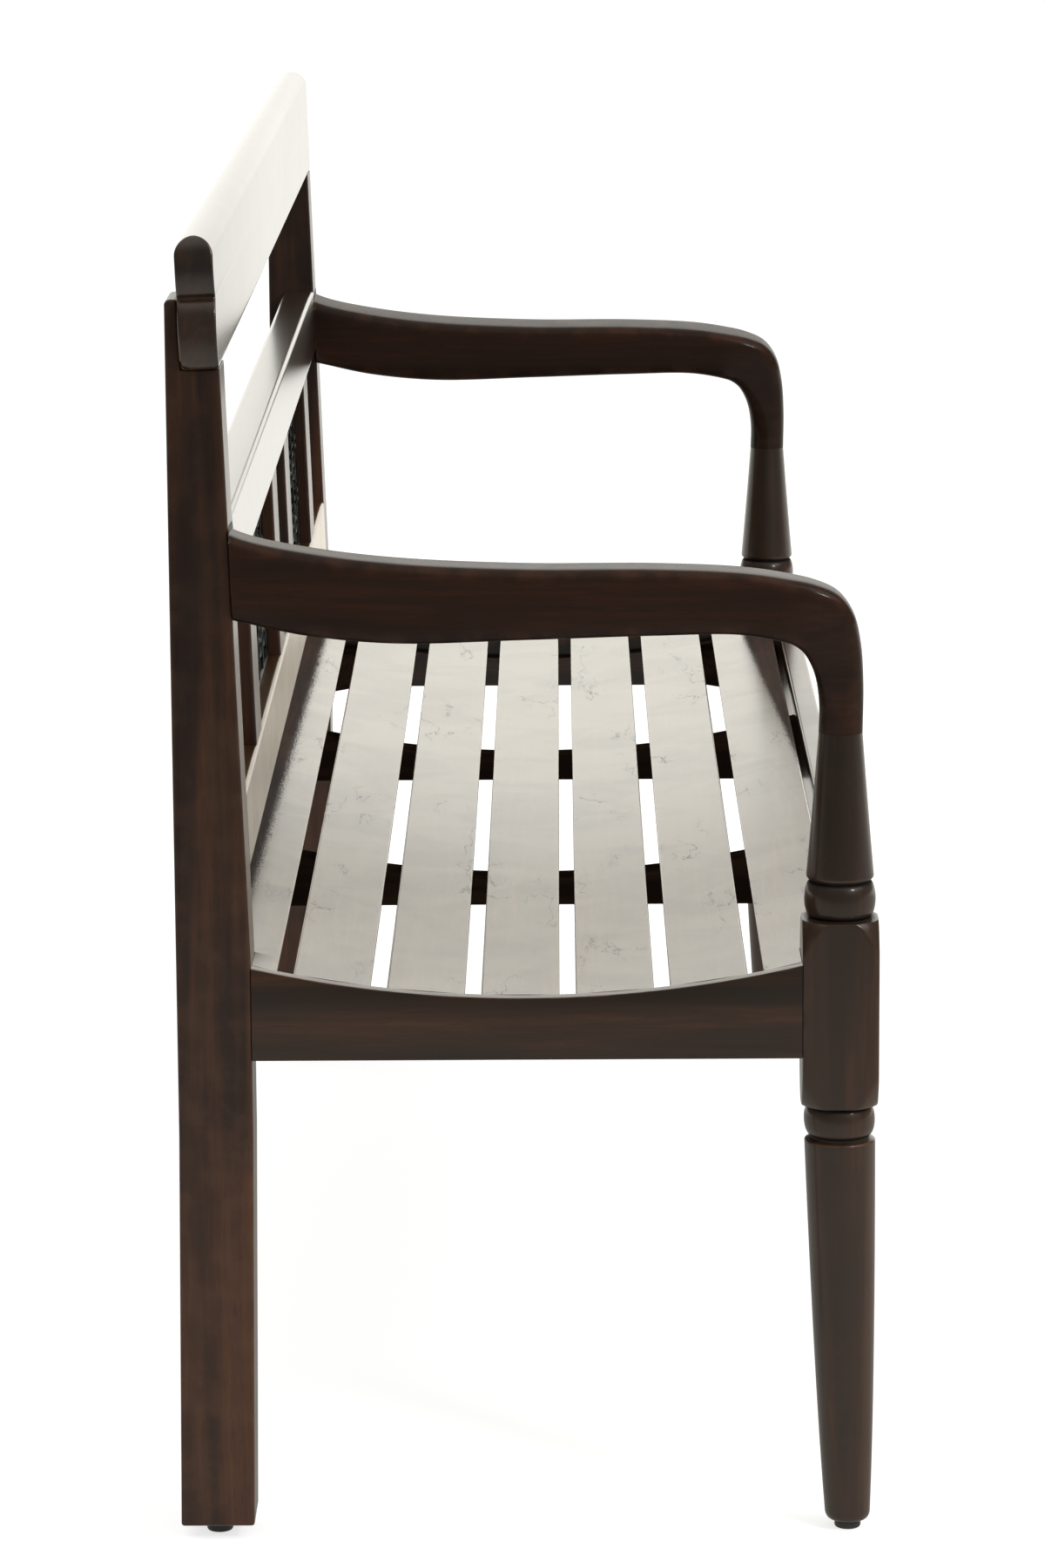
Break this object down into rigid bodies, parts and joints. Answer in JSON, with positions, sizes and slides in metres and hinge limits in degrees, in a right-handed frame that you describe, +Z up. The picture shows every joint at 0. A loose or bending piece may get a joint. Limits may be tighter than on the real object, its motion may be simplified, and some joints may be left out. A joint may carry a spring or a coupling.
{
  "type": "deacons bench",
  "caption": "Long wooden bench with a dished slatted seat, turned front posts, flat arms that turn down onto them, a lobed crest rail and pierced metal panels in the back.",
  "frame": {"origin": "on the floor, under the middle of the bench's length and depth", "axes": "+X along the bench to the right as seen from the front, +Y from front to back, +Z up"},
  "size_m": [1.521, 0.502, 0.9436],
  "materials": {
    "back_posts": "dark espresso stained hardwood under satin lacquer",
    "front_posts": "dark espresso stained hardwood under satin lacquer",
    "arms": "dark espresso stained hardwood under satin lacquer",
    "seat_frame": "dark espresso stained hardwood under satin lacquer",
    "back_rails": "dark espresso stained hardwood under satin lacquer",
    "back_slats": "dark espresso stained hardwood under satin lacquer",
    "seat_slats": "dark espresso stained hardwood under satin lacquer",
    "hidden_wood": "the same stain without the top coat of lacquer",
    "dowels": "plain beech",
    "panels": "blackened cast metal with a dull sheen",
    "screws": "zinc plated steel",
    "glides": "dark moulded nylon"
  },
  "bodies": {
    "root": {"back_post_right": "back_posts", "back_post_left": "back_posts", "front_post_right": "front_posts", "front_post_left": "front_posts", "arm_right": "arms", "arm_left": "arms", "side_rail_right": "seat_frame", "side_rail_left": "seat_frame", "corner_block_front_right": "hidden_wood", "corner_block_front_left": "hidden_wood", "corner_block_back_right": "hidden_wood", "corner_block_back_left": "hidden_wood", "arm_post_dowel_right": "dowels", "arm_post_dowel_left": "dowels", "arm_root_dowel_right": "dowels", "arm_root_dowel_left": "dowels", "crest_rail": "back_rails", "mid_back_rail": "back_rails", "lower_back_rail": "back_rails", "back_slat_1": "back_slats", "back_slat_2": "back_slats", "back_slat_3": "back_slats", "back_slat_4": "back_slats", "pierced_panel_left": "panels", "pierced_panel_right": "panels", "front_seat_rail": "seat_frame", "back_seat_rail": "hidden_wood", "seat_batten_left": "hidden_wood", "seat_batten_right": "hidden_wood", "seat_slat_1": "seat_slats", "seat_slat_2": "seat_slats", "seat_slat_3": "seat_slats", "seat_slat_4": "seat_slats", "seat_slat_5": "seat_slats", "seat_slat_6": "seat_slats", "seat_slat_7": "seat_slats", "crest_screw_left_lower": "screws", "crest_screw_left_upper": "screws", "crest_screw_right_lower": "screws", "crest_screw_right_upper": "screws", "slat_screw_1_left": "screws", "slat_screw_1_right": "screws", "slat_screw_2_left": "screws", "slat_screw_2_right": "screws", "slat_screw_3_left": "screws", "slat_screw_3_right": "screws", "slat_screw_4_left": "screws", "slat_screw_4_right": "screws", "slat_screw_5_left": "screws", "slat_screw_5_right": "screws", "slat_screw_6_left": "screws", "slat_screw_6_right": "screws", "slat_screw_7_left": "screws", "slat_screw_7_right": "screws", "glide_front_left": "glides", "glide_front_right": "glides", "glide_back_left": "glides", "glide_back_right": "glides"}
  },
  "joints": []
}
